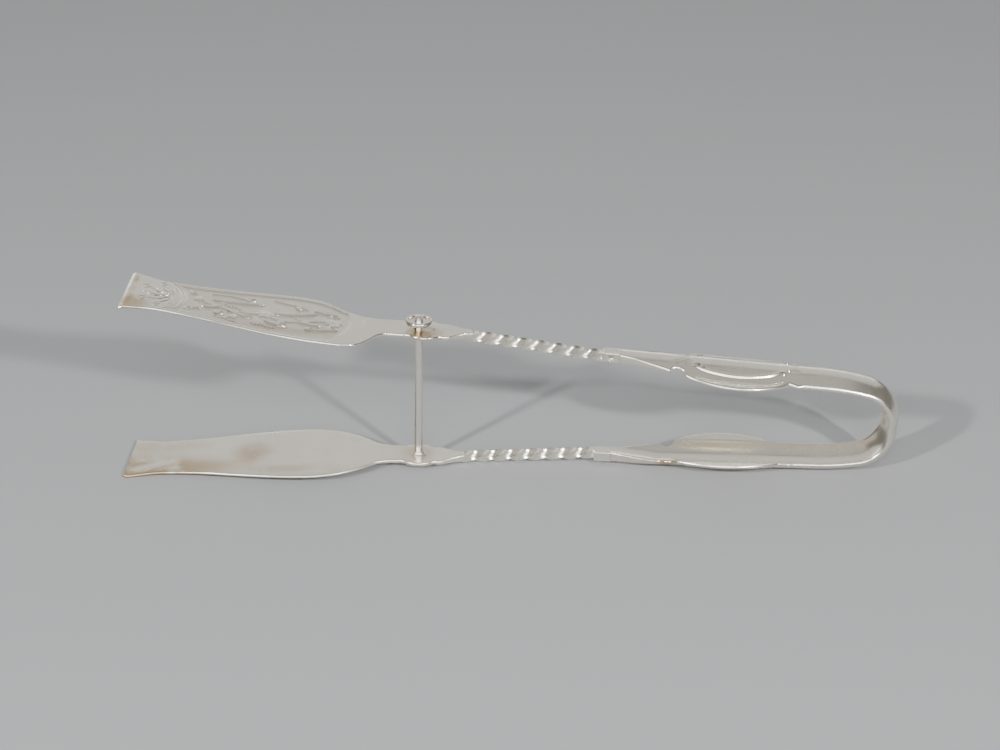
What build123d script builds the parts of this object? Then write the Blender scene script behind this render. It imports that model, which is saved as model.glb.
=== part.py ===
"""Ice tongs: two flat spatula blades on twisted bars, sprung apart by a U-shaped bow.

Millimetres, +Z up. The tongs stand as they do on a table: the lower arm lies along X on Z = 0,
its blade towards -X and the bow towards +X, and both arms are symmetric about Y = 0.
The arms are alike. Each is described in an arm frame whose X runs from tip to bow along the
middle line between the arms, and whose Z points inwards, towards that line.
"""
from build123d import *
import math
import os

os.makedirs("parts", exist_ok=True)

# ---- Driving dimensions -------------------------------------------------------------------

SHEET = 0.9                # handle and bow strip
BLADE_SHEET = 0.8          # blade
BOSS_SHEET = 1.1           # round boss, left thicker than the blade

# Places along an arm, from the blade's tip.
FOLD = 1.1                 # fold line of the turned-in lip
BOSS = 77.4                # centre of the round boss
TANG_END = 90.0            # blade's tang meets the twisted bar
BLOCK_START = 123.8        # twisted bar's block
BLOCK_END = 128.4          # seam between block and handle
HANDLE_END = 176.0         # handle strip becomes the bow

# Half gap between the arms' outer faces at the two places where the tongs touch the table.
TIP_HALF_GAP = 25.1
HEEL = 182.0
HEEL_HALF_GAP = 13.9
BOSS_HALF_GAP = 18.9       # outer face of the round boss
CREST_AT_BLOCK = 15.9      # outer crest of the strip at the block
WEAR_DEPTH = 0.08          # flat worn on the bow's crest at the heel

LIP_LENGTH = 1.0
LIP_ANGLE = 25.0

BAR_SIDE = 2.4             # twisted square bar
BAR_HOLLOW = 0.18          # depth of its hollow faces
QUARTER_TURN = 4.65        # bar length per quarter turn, left-handed
BAR_START_GAP = 17.75      # the bar's centre line runs straight between these two half gaps
BAR_END_GAP = 14.3
BAR_PHASE = 20.0           # angle of the bar's section at the tang
BLOCK_WIDTH = 3.7
BLOCK_HEIGHT = 2.6
BLOCK_GAP = CREST_AT_BLOCK - BLOCK_HEIGHT / 2
DIMPLE_RADIUS = 0.7
DIMPLE_DEPTH = 0.6

CREST_RADIUS = 9.5         # channel section of handle and bow
SIDE_ANGLE = 32.0          # the section's straight sides, tangent to the crest arc
CREASE = 6.4               # half width where a side bends out into the wing's flange
FLANGE_ANGLE = 11.0
BOW_HALF_WIDTH = 6.1
NOTCH_RADIUS = 2.2

ROD_RADIUS = 1.1
ROD_LEAN = 2.2             # degrees, towards the tips
ROD_CLEARANCE = 0.1        # at the sides of the slot in the upper boss
SLOT_TRAVEL = 3.2          # how far the rod shifts along the slot as the tongs close
TENON_RADIUS = 0.8
TENON_GAP = 0.02
STUB = 1.05                # rod end standing proud of the nut
ROD_DOME = 0.4             # height of the rod's domed end
NUT_RADIUS = 3.45
NUT_HEIGHT = 1.15
NUT_DISH_RADIUS = 2.75
NUT_DISH_DEPTH = 0.4
NUT_DISH_TAPER = 20.0
NUT_ROUNDING = 0.42
NUT_GAP = 1.5              # between the nut's seat and the upper boss
NUT_FIT = 0.05             # running clearance on the rod
FOOT_RADIUS = 1.95
FOOT_HEIGHT = 0.9
FOOT_RIM = 0.2             # height of the foot's outer edge
FOOT_TOP = 0.25            # width of its flat top around the rod
FOOT_SWEEP = 0.75          # radius of its hollow flare
FOOT_GAP = 0.05            # solder's hairline to rod and boss
BOW_JOINT_GAP = 0.15       # between the bow and the moving handle

# ---- Frames -------------------------------------------------------------------------------

TILT = math.atan2(TIP_HALF_GAP - HEEL_HALF_GAP + WEAR_DEPTH, HEEL - FOLD)
APEX = 202.9
along = Vector(math.cos(TILT), 0, -math.sin(TILT))
inward = Vector(math.sin(TILT), 0, math.cos(TILT))
mid_height = TIP_HALF_GAP * math.cos(TILT) + FOLD * math.sin(TILT)
lip_run = LIP_LENGTH * math.cos(math.radians(LIP_ANGLE))
lip_rise = LIP_LENGTH * math.sin(math.radians(LIP_ANGLE))
tip_reach = (TIP_HALF_GAP - lip_rise) * math.sin(TILT) - (FOLD - lip_run) * math.cos(TILT)
start_x = -(APEX * math.cos(TILT) - tip_reach) / 2
origin = Vector(start_x, 0, mid_height)

lower = Plane(origin=origin, x_dir=along, z_dir=inward)
upper = Plane(origin=origin, x_dir=along, z_dir=inward * -1)


def side(arm):
    """The arm's middle plane, drawn with X along the arm and Y inwards."""
    return Plane(origin=arm.origin, x_dir=arm.x_dir, z_dir=arm.y_dir * -1)


def across(arm, distance, height=0.0):
    """A plane square to the arm, drawn with X across it and Y inwards."""
    place = arm.from_local_coords(Vector(distance, 0, height))
    return Plane(origin=place, x_dir=arm.y_dir, z_dir=arm.x_dir)


# ---- Blades -------------------------------------------------------------------------------

# Outer face of the blade in side view: distance from the tip, half gap, thickness there.
BLADE_LINE = [
    (FOLD, TIP_HALF_GAP, BLADE_SHEET),
    (24.0, 22.5, BLADE_SHEET),
    (47.0, 20.25, BLADE_SHEET),
    (62.0, 19.25, BLADE_SHEET),
    (70.0, 19.05, BOSS_SHEET),
    (78.0, BOSS_HALF_GAP, BOSS_SHEET),
    (84.0, 18.85, 1.3),
    (TANG_END, 19.1, 2.3),
]
# Half width of the blade in plan view, fold line to neck.
BLADE_SIDE = [
    (0.0, 10.15), (3.0, 9.75), (8.0, 8.9), (14.0, 9.05), (21.0, 9.85), (30.0, 11.4), (38.0, 12.65),
    (45.0, 13.25), (52.0, 12.95), (58.0, 11.2), (63.0, 8.2), (66.5, 5.4), (70.0, 4.35),
]
# The upper blade is not quite like the lower one: fuller in front, and its back turns in earlier.
UPPER_FRONT = [
    (0.0, 10.4), (3.0, 9.85), (8.0, 8.9), (14.0, 9.05), (21.0, 9.85), (30.0, 11.4), (38.0, 12.75),
    (45.0, 13.45), (52.0, 13.75), (57.5, 13.5), (61.0, 12.2), (63.4, 9.2), (65.2, 6.2), (67.2, 4.65),
    (70.0, 4.35),
]
UPPER_BACK = [
    (0.0, 11.3), (3.0, 10.3), (8.0, 8.8), (14.0, 8.75), (21.0, 9.2), (30.0, 10.2), (38.0, 11.3),
    (45.0, 11.8), (51.0, 10.6), (56.5, 7.0), (61.0, 4.7), (65.5, 4.25), (70.0, 4.35),
]
TIP_OVERRUN = 2.0          # the plan reaches past the fold so that it holds the lip
NECK_END = (83.6, 4.1)
TANG_WAIST = (87.0, 2.1)
TANG_HALF_WIDTH = 1.25
BOSS_RADIUS = 5.6
NICK_RADIUS = 0.35
NICKS = [(72.7, 4.45), (81.9, 4.3), (83.6, 4.25)]
DEEP = 40.0                # height of the cutters that trim a profile to its plan


def blade_plan(front, back):
    """Plan of the blade, neck and tang, given the half widths along its two sides."""
    with BuildSketch() as plan:
        with BuildLine():
            for flip, half_widths in ((1, front), (-1, back)):
                edge = [(x, y * flip) for x, y in half_widths]
                neck, waist = (NECK_END[0], NECK_END[1] * flip), (TANG_WAIST[0], TANG_WAIST[1] * flip)
                tang = (TANG_END, TANG_HALF_WIDTH * flip)
                Polyline((-TIP_OVERRUN, 0), (-TIP_OVERRUN, edge[0][1]), edge[0])
                Spline(*edge)
                Line(edge[-1], neck)
                Spline(neck, waist, tang, tangents=[(1, -0.9 * flip), (1, -0.1 * flip)])
                Line(tang, (TANG_END, 0))
        make_face()
        with Locations((BOSS, 0)):
            Circle(BOSS_RADIUS)
        with Locations([(x, y * s) for x, y in NICKS for s in (1, -1)]):
            Circle(NICK_RADIUS, mode=Mode.SUBTRACT)
    return plan.sketch_local


def blade(arm, front, back):
    """Sheet blade with its turned-in lip, neck, round boss and tang."""
    lip = Vector(-lip_run, lip_rise)
    across_lip = Vector(lip_rise, lip_run) / LIP_LENGTH
    outer = [Vector(x, -gap) for x, gap, _ in BLADE_LINE]
    inner = [Vector(x, -gap + thick) for x, gap, thick in BLADE_LINE]
    fold_inner = inner[0] + Vector(BLADE_SHEET * math.tan(math.radians(LIP_ANGLE / 2)), 0)
    with BuildPart() as piece:
        with BuildSketch(side(arm)):
            with BuildLine():
                lip_end = outer[0] + lip
                Polyline(outer[0], lip_end, lip_end + across_lip * BLADE_SHEET, fold_inner)
                Spline(*outer)
                Line(outer[-1], inner[-1])
                Spline(fold_inner, *inner[1:])
            make_face()
        extrude(amount=DEEP, both=True)
        with BuildSketch(arm.offset(-DEEP)):
            add(blade_plan(front, back))
        extrude(amount=2 * DEEP, mode=Mode.INTERSECT)
    return piece


# ---- Guide rod and stop nut ---------------------------------------------------------------

lean = math.radians(ROD_LEAN)
rod_up = along * -math.sin(lean) + inward * math.cos(lean)
boss_inner_gap = BOSS_HALF_GAP - BOSS_SHEET
rod_foot_place = lower.from_local_coords(Vector(BOSS, 0, -boss_inner_gap))
rod_front = along * math.cos(lean) + inward * math.sin(lean)
rod_plane = Plane(origin=rod_foot_place, x_dir=rod_front, z_dir=rod_up)
nut_seat = (boss_inner_gap + BOSS_HALF_GAP) / math.cos(lean) + NUT_GAP
rod_length = nut_seat + NUT_HEIGHT + STUB
rod_side = Plane(origin=rod_plane.origin, x_dir=rod_plane.x_dir, z_dir=rod_plane.y_dir * -1)

lower_blade = blade(lower, BLADE_SIDE, BLADE_SIDE)
with BuildPart() as lower_blade_drilled:
    add(lower_blade.part)
    with BuildSketch(rod_plane):
        Circle(TENON_RADIUS + TENON_GAP)
    extrude(amount=BOSS_SHEET * 3, both=True, mode=Mode.SUBTRACT)
lower_blade_drilled.part.label = "lower_blade"
export_step(lower_blade_drilled.part, "parts/lower_blade.step")

upper_blade = blade(upper, UPPER_FRONT, UPPER_BACK)
with BuildPart() as upper_blade_slotted:
    add(upper_blade.part)
    with BuildSketch(upper.offset(-DEEP)):
        with Locations((BOSS, 0)):
            SlotCenterToCenter(SLOT_TRAVEL, 2 * (ROD_RADIUS + ROD_CLEARANCE))
    extrude(amount=2 * DEEP, mode=Mode.SUBTRACT)
upper_blade_slotted.part.label = "upper_blade"
export_step(upper_blade_slotted.part, "parts/upper_blade.step")

with BuildPart() as guide_rod:
    with BuildSketch(rod_side):
        with BuildLine():
            Polyline((0, rod_length), (0, -BOSS_SHEET), (TENON_RADIUS, -BOSS_SHEET), (TENON_RADIUS, 0),
                     (ROD_RADIUS, 0), (ROD_RADIUS, rod_length - ROD_DOME))
            TangentArc((0, rod_length), (ROD_RADIUS, rod_length - ROD_DOME), tangent=(1, 0))
        make_face()
    revolve(axis=Axis(rod_plane.origin, rod_up))
guide_rod.part.label = "guide_rod"
export_step(guide_rod.part, "parts/guide_rod.step")

with BuildPart() as rod_foot:
    with BuildSketch(rod_side):
        with BuildLine():
            bore = ROD_RADIUS + FOOT_GAP
            top, rim = (ROD_RADIUS + FOOT_TOP, FOOT_HEIGHT), (FOOT_RADIUS, FOOT_RIM)
            Polyline(top, (bore, FOOT_HEIGHT), (bore, FOOT_GAP), (FOOT_RADIUS, FOOT_GAP), rim)
            RadiusArc(rim, top, FOOT_SWEEP)
        make_face()
    revolve(axis=Axis(rod_plane.origin, rod_up))
rod_foot.part.label = "rod_foot"
export_step(rod_foot.part, "parts/rod_foot.step")

with BuildPart() as stop_nut:
    with BuildSketch(rod_plane.offset(nut_seat)):
        Circle(NUT_RADIUS)
    extrude(amount=NUT_HEIGHT)
    fillet(stop_nut.edges(), radius=NUT_ROUNDING)
    with BuildSketch(rod_plane.offset(nut_seat + NUT_HEIGHT)):
        Circle(NUT_DISH_RADIUS)
    extrude(amount=-NUT_DISH_DEPTH, mode=Mode.SUBTRACT, taper=NUT_DISH_TAPER)
    with BuildSketch(rod_plane.offset(nut_seat)):
        Circle(ROD_RADIUS + NUT_FIT)
    extrude(amount=NUT_HEIGHT, mode=Mode.SUBTRACT)
stop_nut.part.label = "stop_nut"
export_step(stop_nut.part, "parts/stop_nut.step")


# ---- Twisted bars -------------------------------------------------------------------------

BAR_OVERRUN = 0.4          # the wound bar starts early and ends late, then is trimmed


def twisted_bar(arm):
    """Left-hand twisted square bar that ends in a block."""
    tang = arm.from_local_coords(Vector(TANG_END, 0, -BAR_START_GAP))
    end = arm.from_local_coords(Vector(BLOCK_START, 0, -BAR_END_GAP))
    spare = (end - tang).normalized() * BAR_OVERRUN
    start = tang - spare
    run = end + spare - start
    bar_plane = Plane(origin=start, x_dir=arm.y_dir, z_dir=run)
    half = BAR_SIDE / 2
    corners = [(half, half), (-half, half), (-half, -half), (half, -half)]
    with BuildSketch(bar_plane) as section:
        with BuildLine():
            for first, second in zip(corners, corners[1:] + corners[:1]):
                SagittaArc(first, second, -BAR_HOLLOW)
        make_face()
    turned = section.sketch.face().rotate(Axis(start, run), BAR_PHASE)
    twist = -90.0 * run.length / QUARTER_TURN
    wound = Solid.extrude_linear_with_rotation(turned, start, run, twist)
    with BuildPart() as piece:
        add(wound)
        split(bisect_by=across(arm, TANG_END))
        with BuildSketch(across(arm, BLOCK_START, -BLOCK_GAP)):
            Rectangle(BLOCK_WIDTH, BLOCK_HEIGHT)
        extrude(amount=BLOCK_END - BLOCK_START)
    return piece


lower_twist = twisted_bar(lower)
lower_twist.part.label = "lower_twist"
export_step(lower_twist.part, "parts/lower_twist.step")

upper_twist_plain = twisted_bar(upper)
with BuildPart() as upper_twist:
    add(upper_twist_plain.part)
    block_middle = (BLOCK_START + BLOCK_END) / 2
    dimple_place = upper.from_local_coords(Vector(block_middle, BLOCK_WIDTH / 2, -BLOCK_GAP))
    with BuildSketch(Plane(origin=dimple_place, x_dir=upper.x_dir, z_dir=upper.y_dir)):
        Circle(DIMPLE_RADIUS)
    extrude(amount=-DIMPLE_DEPTH, mode=Mode.SUBTRACT)
upper_twist.part.label = "upper_twist"
export_step(upper_twist.part, "parts/upper_twist.step")


# ---- Handles and bow ----------------------------------------------------------------------

crest_slope = (CREST_AT_BLOCK - HEEL_HALF_GAP) / (HEEL - BLOCK_END)

SCOOP_TOP = 9.0            # height of the space above the channel
SCOOP_END = 140.5          # the solid root has thinned to plain strip here
STRIP_OVERRUN = 2.0        # the strip starts early and ends late, then is trimmed to its plan
STRIP_REACH = 11.0
ROOT_SHOULDER = (134.5, 3.4)
NOTCH_START = (141.2, 5.2)
WING_START = (145.6, 6.1)
WING_TOP = (158.5, 9.6)
CUSP = (172.3, 5.8)
STRAP_SHOULDER = (174.8, 6.45)
NOTCH_SLACK = 1.12         # the notch is a little shallower than a half round


def channel_face(reach, lift=0.0, depth=SHEET, top=None):
    """The strip's channel section, its crest at the origin plus lift.

    With a top, the face is all that lies between the line of that depth and the top."""
    rise, flare = math.radians(SIDE_ANGLE), math.radians(FLANGE_ANGLE)
    side_run = Vector(math.cos(rise), math.sin(rise))
    flange_run = Vector(math.cos(flare), math.sin(flare))

    def right_half(offset):
        radius = CREST_RADIUS - offset
        corner = Vector(radius * math.sin(rise), CREST_RADIUS - radius * math.cos(rise) + lift)
        if reach <= CREASE:
            return [corner, corner + side_run * ((reach - corner.X) / side_run.X)]
        outer_crease = Vector(CREASE, CREST_RADIUS * (1 - math.cos(rise)) + lift)
        outer_crease += Vector(0, (CREASE - CREST_RADIUS * math.sin(rise)) * math.tan(rise))
        shift = Vector(-side_run.Y - flange_run.Y, side_run.X + flange_run.X)
        crease = outer_crease + shift * (offset / (1 + side_run.dot(flange_run)))
        return [corner, crease, crease + flange_run * ((reach - crease.X) / flange_run.X)]

    def flip(point):
        return Vector(-point.X, point.Y)

    with BuildSketch() as section:
        with BuildLine():
            for offset in (depth, 0.0) if top is None else (depth,):
                half = right_half(offset)
                ThreePointArc(flip(half[0]), (0, offset + lift), half[0])
                Polyline(*half)
                Polyline(*[flip(point) for point in half])
            far, outer_far = right_half(depth)[-1], right_half(0.0)[-1]
            if top is None:
                Line(far, outer_far)
                Line(flip(far), flip(outer_far))
            else:
                Polyline(far, (far.X, top), (-far.X, top), flip(far))
        make_face()
    return section.sketch_local


# The handle's plan outline: shoulder, half-round notch, long wing, cusp and strap.
with BuildSketch() as handle_plan:
    with BuildLine():
        Line((BLOCK_END, 0), (BLOCK_END, BLOCK_WIDTH / 2))
        Spline((BLOCK_END, BLOCK_WIDTH / 2), ROOT_SHOULDER, NOTCH_START, tangents=[(1, 0.15), (1, 0.45)])
        RadiusArc(NOTCH_START, WING_START, -NOTCH_RADIUS * NOTCH_SLACK)
        ThreePointArc(WING_START, WING_TOP, CUSP)
        Line(CUSP, STRAP_SHOULDER)
        Line(STRAP_SHOULDER, (HANDLE_END, BOW_HALF_WIDTH))
        Line((HANDLE_END, BOW_HALF_WIDTH), (HANDLE_END, 0))
        mirror(about=Plane.XZ)
    make_face()


def handle(arm, gap):
    """Channel-shaped handle strip: solid root at the block, wings each side, open towards the bow."""
    root = arm.from_local_coords(Vector(BLOCK_END, 0, -CREST_AT_BLOCK))
    run = (arm.x_dir + arm.z_dir * crest_slope).normalized()
    strip_start = Plane(origin=root - run * STRIP_OVERRUN, x_dir=arm.y_dir, z_dir=run)
    scoop_run = SCOOP_END - BLOCK_END
    scoop_start = Plane(origin=root, x_dir=arm.y_dir, z_dir=run)
    lift = BLOCK_HEIGHT - SHEET
    with BuildPart() as piece:
        with BuildSketch(strip_start):
            add(channel_face(STRIP_REACH, depth=0.0, top=SCOOP_TOP))
        extrude(amount=HANDLE_END - BLOCK_END + 2 * STRIP_OVERRUN)
        with BuildSketch(scoop_start):
            add(channel_face(STRIP_REACH, lift=lift, top=SCOOP_TOP + lift))
        oblique = scoop_start.z_dir * scoop_run - scoop_start.y_dir * lift
        extrude(amount=oblique.length, dir=oblique, mode=Mode.SUBTRACT)
        with BuildSketch(scoop_start.offset(scoop_run)):
            add(channel_face(STRIP_REACH, top=SCOOP_TOP))
        extrude(amount=HANDLE_END - SCOOP_END + 2 * STRIP_OVERRUN, mode=Mode.SUBTRACT)
        with BuildSketch(arm.offset(-DEEP)):
            add(handle_plan.sketch_local)
        extrude(amount=2 * DEEP, mode=Mode.INTERSECT)
        if gap > 0:
            with BuildSketch(across(arm, HANDLE_END - gap)):
                Rectangle(DEEP, DEEP * 2)
            extrude(amount=DEEP, mode=Mode.SUBTRACT)
    return piece


lower_handle = handle(lower, 0.0)
lower_handle.part.label = "lower_handle"
export_step(lower_handle.part, "parts/lower_handle.step")

upper_handle = handle(upper, BOW_JOINT_GAP)
upper_handle.part.label = "upper_handle"
export_step(upper_handle.part, "parts/upper_handle.step")

BOW_SHOULDER = (194.0, -12.35)
BOW_CORNER = (202.6, -3.9)
BOW_OVERRUN = 1.0
heel = (HEEL, -HEEL_HALF_GAP)
strap_start = HANDLE_END - BOW_OVERRUN
early_start = (strap_start, -HEEL_HALF_GAP - (HEEL - strap_start) * crest_slope)

# The crest line of the bow's lower half, mirrored about the middle line between the arms.
with BuildLine() as bow_line:
    strap = Line(early_start, heel)
    easing = TangentArc(heel, BOW_SHOULDER, tangent=strap % 1)
    bend = TangentArc(BOW_SHOULDER, BOW_CORNER, tangent=easing % 1)
    TangentArc(BOW_CORNER, (BOW_CORNER[0], 0), tangent=bend % 1)
    mirror(about=Plane.XZ)
bow_path = bow_line.wires()[0].moved(side(lower).location)

with BuildPart() as bow_spring:
    with BuildSketch(Plane(origin=bow_path @ 0, x_dir=lower.y_dir, z_dir=bow_path % 0)):
        add(channel_face(BOW_HALF_WIDTH))
    sweep(path=bow_path)
    split(bisect_by=across(lower, HANDLE_END))
    with BuildSketch(Plane.XY):
        Rectangle(2 * APEX, 2 * DEEP)
    extrude(amount=-DEEP, mode=Mode.SUBTRACT)
bow_spring.part.label = "bow_spring"
export_step(bow_spring.part, "parts/bow_spring.step")
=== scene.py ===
"""Looks of the silver ice tongs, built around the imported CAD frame.

Shapes are drawn in millimetres in an arm frame: X from the blade's tip to the bow along the middle
line between the arms, Y across, Z inwards. Both arms share it, turned half round about that line.
"""
import math

import bmesh
import bpy
import numpy as np
from mathutils import Matrix, Vector


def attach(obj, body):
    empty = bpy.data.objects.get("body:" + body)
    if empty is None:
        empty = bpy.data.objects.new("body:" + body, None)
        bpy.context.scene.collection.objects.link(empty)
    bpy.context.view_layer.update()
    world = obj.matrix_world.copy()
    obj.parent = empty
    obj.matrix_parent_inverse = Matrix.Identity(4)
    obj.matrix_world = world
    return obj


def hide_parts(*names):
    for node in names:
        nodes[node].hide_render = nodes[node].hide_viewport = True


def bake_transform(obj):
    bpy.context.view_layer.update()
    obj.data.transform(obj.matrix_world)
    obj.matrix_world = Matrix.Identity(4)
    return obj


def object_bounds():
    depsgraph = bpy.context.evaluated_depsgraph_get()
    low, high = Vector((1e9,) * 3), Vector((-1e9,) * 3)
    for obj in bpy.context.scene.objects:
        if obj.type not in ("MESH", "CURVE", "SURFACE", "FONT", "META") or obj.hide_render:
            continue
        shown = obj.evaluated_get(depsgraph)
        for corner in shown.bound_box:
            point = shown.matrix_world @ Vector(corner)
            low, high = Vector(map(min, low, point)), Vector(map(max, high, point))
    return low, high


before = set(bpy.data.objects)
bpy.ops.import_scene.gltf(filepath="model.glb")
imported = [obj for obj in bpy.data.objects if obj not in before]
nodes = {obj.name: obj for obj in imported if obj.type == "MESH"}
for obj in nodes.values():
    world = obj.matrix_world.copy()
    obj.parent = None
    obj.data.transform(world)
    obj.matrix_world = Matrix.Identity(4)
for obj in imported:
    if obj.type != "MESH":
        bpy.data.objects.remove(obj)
cad_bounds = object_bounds()

# ---- Dimensions shared with the CAD model (mm) -----------------------------------------------
# Along an arm: the blade's fold and lip, the heel that the bow stands on, and the bow's outer end.
FOLD, TIP_HALF_GAP = 1.1, 25.1
LIP_LENGTH, LIP_ANGLE = 1.0, math.radians(25.0)
HEEL, HEEL_HALF_GAP, WEAR_DEPTH = 182.0, 13.9, 0.08
APEX = 202.9

# Neck, round boss and tang behind the blade, and the guide rod's slot through the upper boss.
NECK_START, TANG_START, TANG_END, TANG_HALF_WIDTH = 70, 83.6, 90.0, 1.25
BOSS, BOSS_RADIUS = 77.4, 5.6
ROD_RADIUS, ROD_CLEARANCE, SLOT_TRAVEL = 1.1, 0.1, 3.2

# Twisted square bar, and the block between it and the handle.
BAR_SIDE, BAR_HOLLOW, QUARTER_TURN, BAR_PHASE = 2.4, 0.18, 4.65, math.radians(20.0)
BAR_START_GAP, BAR_END_GAP, BAR_OVERRUN = 17.75, 14.3, 0.4
CREST_AT_BLOCK = 15.9
BLOCK_START, BLOCK_END, BLOCK_WIDTH, BLOCK_HEIGHT = 123.8, 128.4, 3.7, 2.6
BLOCK_GAP = CREST_AT_BLOCK - BLOCK_HEIGHT / 2
DIMPLE_RADIUS, DIMPLE_DEPTH = 0.7, 0.6

# Sheet thickness, and the channel section of handles and bow.
SHEET, BLADE_SHEET = 0.9, 0.8
CREST_RADIUS, SIDE_ANGLE, CREASE, FLANGE_ANGLE = 9.5, math.radians(32.0), 6.4, math.radians(11.0)
SCOOP_END, HANDLE_END = 140.5, 176.0
BOW_HALF_WIDTH = 6.1
BOW_SHOULDER, BOW_CORNER = (194.0, -12.35), (202.6, -3.9)

# Blade seen from the side: distance from the tip, half gap and thickness.
BLADE_LINE = [(FOLD, TIP_HALF_GAP, BLADE_SHEET), (24, 22.5, BLADE_SHEET), (47, 20.25, BLADE_SHEET),
              (62, 19.25, BLADE_SHEET), (70, 19.05, 1.1), (78, 18.9, 1.1), (84, 18.85, 1.3),
              (90, 19.1, 2.3)]

# Outlines seen from above: distance from the tip and half width. The upper blade has a front and a back.
NECK = [(NECK_START, 4.35), (TANG_START, 4.1)]
TANG = [(TANG_START, 4.1), (85.2, 3.05), (87, 2.1), (88.5, 1.5), (TANG_END, TANG_HALF_WIDTH)]
BLADE_SIDE = [(0, 10.15), (3, 9.75), (8, 8.9), (14, 9.05), (21, 9.85), (30, 11.4), (38, 12.65),
              (45, 13.25), (52, 12.95), (58, 11.2), (63, 8.2), (66.5, 5.4), (70, 4.35)]
UPPER_FRONT = [(0, 10.4), (3, 9.85), (8, 8.9), (14, 9.05), (21, 9.85), (30, 11.4), (38, 12.75),
               (45, 13.45), (52, 13.75), (57.5, 13.5), (61, 12.2), (63.4, 9.2), (65.2, 6.2), (67.2, 4.65),
               (70, 4.35)]
UPPER_BACK = [(0, 11.3), (3, 10.3), (8, 8.8), (14, 8.75), (21, 9.2), (30, 10.2), (38, 11.3),
              (45, 11.8), (51, 10.6), (56.5, 7.0), (61, 4.7), (65.5, 4.25), (70, 4.35)]
NICKS, NICK_RADIUS = [(72.7, 4.45), (81.9, 4.3), (83.6, 4.25)], 0.35
ROOT_LINE = [(BLOCK_END, 1.85), (131.4, 2.45), (134.5, 3.4), (138, 4.35), (141.2, 5.2)]
NOTCH_START, NOTCH_END, NOTCH_ARC = (141.2, 5.2), (145.6, 6.1), 2.464
WING = [(145.6, 6.1), (158.5, 9.6), (172.3, 5.8)]
STRAP_SHOULDER = (174.8, 6.45)

# ---- Finish of the pieces (mm) ---------------------------------------------------------------
EDGE_ROUNDING = 0.38
FOLD_ROUNDING = 1.0

# ---- Frames ----------------------------------------------------------------------------------
TILT = math.atan2(TIP_HALF_GAP - HEEL_HALF_GAP + WEAR_DEPTH, HEEL - FOLD)
COS, SIN = math.cos(TILT), math.sin(TILT)
LIP_RUN, LIP_RISE = LIP_LENGTH * math.cos(LIP_ANGLE), LIP_LENGTH * math.sin(LIP_ANGLE)
ORIGIN = np.array([((TIP_HALF_GAP - LIP_RISE) * SIN - (APEX + FOLD - LIP_RUN) * COS) / 2, 0,
                   TIP_HALF_GAP * COS + FOLD * SIN])
ARMS = {"lower": np.array([(COS, 0, -SIN), (0, 1, 0), (SIN, 0, COS)]),
        "upper": np.array([(COS, 0, -SIN), (0, -1, 0), (-SIN, 0, -COS)])}
MM = 0.001
crest_slope = (CREST_AT_BLOCK - HEEL_HALF_GAP) / (HEEL - BLOCK_END)


def crest_gap(u):
    """Half gap of the handle's crest line at a distance along the arm."""
    return CREST_AT_BLOCK - crest_slope * (u - BLOCK_END)


def place(arm, points):
    """Arm frame in millimetres to the row frame in metres."""
    return (ORIGIN + np.asarray(points) @ ARMS[arm]) * MM


def keep_inside(points):
    """Holds a piece's surface within the CAD model's bounding box."""
    return np.clip(points, *cad_bounds)


# ---- Curves and sections ---------------------------------------------------------------------

def smooth(table, x, column=1):
    """A curve through a table's points, smooth and without overshoot."""
    xs = np.array([row[0] for row in table], float)
    ys = np.array([row[column] for row in table], float)
    step = np.diff(xs)
    slope = np.diff(ys) / step
    tangent = np.empty_like(xs)
    tangent[1:-1] = (slope[:-1] * step[1:] + slope[1:] * step[:-1]) / (step[1:] + step[:-1])
    tangent[0], tangent[-1] = slope[0], slope[-1]
    x = np.clip(x, xs[0], xs[-1])
    i = np.clip(np.searchsorted(xs, x) - 1, 0, len(step) - 1)
    t = (x - xs[i]) / step[i]
    h = step[i]
    return ((2 * t**3 - 3 * t**2 + 1) * ys[i] + (t**3 - 2 * t**2 + t) * h * tangent[i]
            + (3 * t**2 - 2 * t**3) * ys[i + 1] + (t**3 - t**2) * h * tangent[i + 1])


def step_up(x, low, high):
    """Rises smoothly from 0 at low to 1 at high."""
    t = np.clip((x - low) / (high - low), 0, 1)
    return t * t * (3 - 2 * t)


def bell(distance, width):
    """1 on a line, falling smoothly to nearly 0 at twice the width."""
    return np.exp(-((distance / width) ** 2))


def circle_through(a, b, c):
    """Centre and radius of the circle through three points."""
    (ax, ay), (bx, by), (cx, cy) = a, b, c
    d = 2 * (ax * (by - cy) + bx * (cy - ay) + cx * (ay - by))
    ux = ((ax**2 + ay**2) * (by - cy) + (bx**2 + by**2) * (cy - ay) + (cx**2 + cy**2) * (ay - by)) / d
    uy = ((ax**2 + ay**2) * (cx - bx) + (bx**2 + by**2) * (ax - cx) + (cx**2 + cy**2) * (bx - ax)) / d
    return ux, uy, math.hypot(ax - ux, ay - uy)


SECTION_REACH, SECTION_SAMPLES, CREASE_SOFTNESS = 12, 600, 0.5
section_y = np.linspace(0, SECTION_REACH, SECTION_SAMPLES)
section_slope = np.where(section_y < CREST_RADIUS * math.sin(SIDE_ANGLE),
                         np.arcsin(np.clip(section_y / CREST_RADIUS, 0, 1)), SIDE_ANGLE)
section_slope += (FLANGE_ANGLE - SIDE_ANGLE) * step_up(section_y, CREASE - CREASE_SOFTNESS,
                                                       CREASE + CREASE_SOFTNESS)
section_rise = np.concatenate([[0], np.cumsum(np.tan((section_slope[1:] + section_slope[:-1]) / 2)
                                              * np.diff(section_y))])


def rise(y):
    """How far the strip's outer face lies inside its crest line at a distance from the middle."""
    return np.interp(np.abs(y), section_y, section_rise)


def wall(y):
    """The strip's thickness measured along Z."""
    return SHEET / np.cos(np.interp(np.abs(y), section_y, section_slope))


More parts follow.
